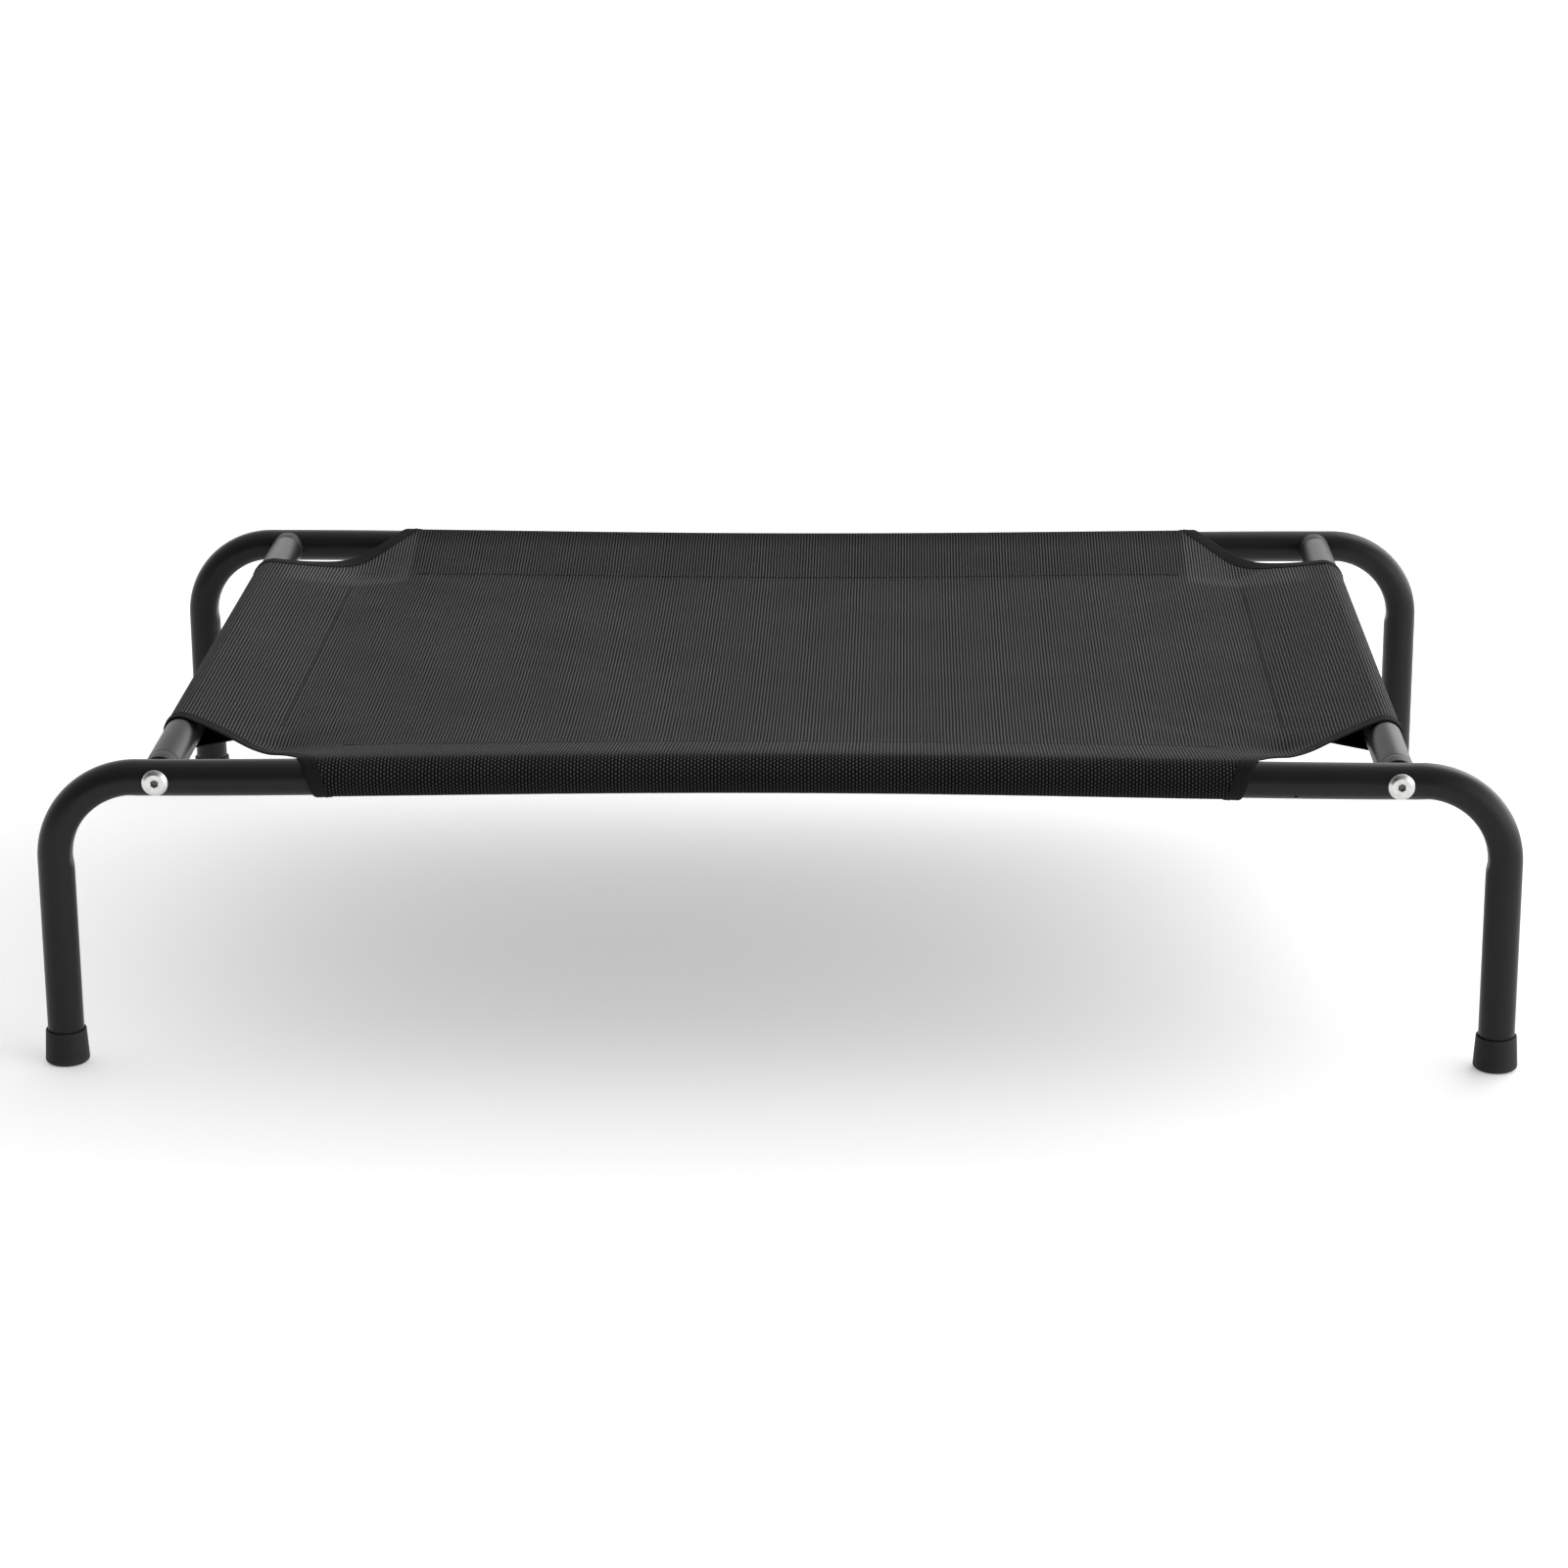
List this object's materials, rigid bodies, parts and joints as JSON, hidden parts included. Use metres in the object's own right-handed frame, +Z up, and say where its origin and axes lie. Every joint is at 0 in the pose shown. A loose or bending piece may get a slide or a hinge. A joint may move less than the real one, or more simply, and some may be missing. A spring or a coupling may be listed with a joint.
{
  "type": "raised mesh dog bed",
  "caption": "Raised dog bed: a mesh sling sewn round a bolted frame of bent steel tube, with scooped corners and rubber foot caps.",
  "frame": {"origin": "on the floor, under the middle of the bed", "axes": "+X along the long side rails to the right, +Y from the front rail to the rear rail, +Z up"},
  "size_m": [1.0166, 0.6708, 0.2205],
  "materials": {
    "frame_steel": "satin black powder coat, fine texture",
    "plug_plastic": "moulded, matte black",
    "nut_zinc": "zinc plated",
    "bolt_bright": "bright nickel plated, slightly satin",
    "foot_rubber": "matte moulded rubber",
    "mesh_cloth": "open woven PVC-coated polyester mesh, slight sheen",
    "binding_tape": "woven polyester edge tape"
  },
  "bodies": {
    "root": {"front_side_frame": "frame_steel", "rear_side_frame": "frame_steel", "left_crossbar": "frame_steel", "right_crossbar": "frame_steel", "saddle_plug_front_left": "plug_plastic", "saddle_plug_rear_left": "plug_plastic", "saddle_plug_front_right": "plug_plastic", "saddle_plug_rear_right": "plug_plastic", "captive_nut_front_left": "nut_zinc", "captive_nut_rear_left": "nut_zinc", "captive_nut_front_right": "nut_zinc", "captive_nut_rear_right": "nut_zinc", "connector_bolt_front_left": "bolt_bright", "connector_bolt_rear_left": "bolt_bright", "connector_bolt_front_right": "bolt_bright", "connector_bolt_rear_right": "bolt_bright", "foot_cap_front_left": "foot_rubber", "foot_cap_rear_left": "foot_rubber", "foot_cap_front_right": "foot_rubber", "foot_cap_rear_right": "foot_rubber", "sling_panel": "mesh_cloth", "front_sleeve": "mesh_cloth", "rear_sleeve": "mesh_cloth", "left_sleeve": "mesh_cloth", "right_sleeve": "mesh_cloth", "corner_binding_front_left": "binding_tape", "corner_binding_rear_left": "binding_tape", "corner_binding_front_right": "binding_tape", "corner_binding_rear_right": "binding_tape"}
  },
  "joints": []
}
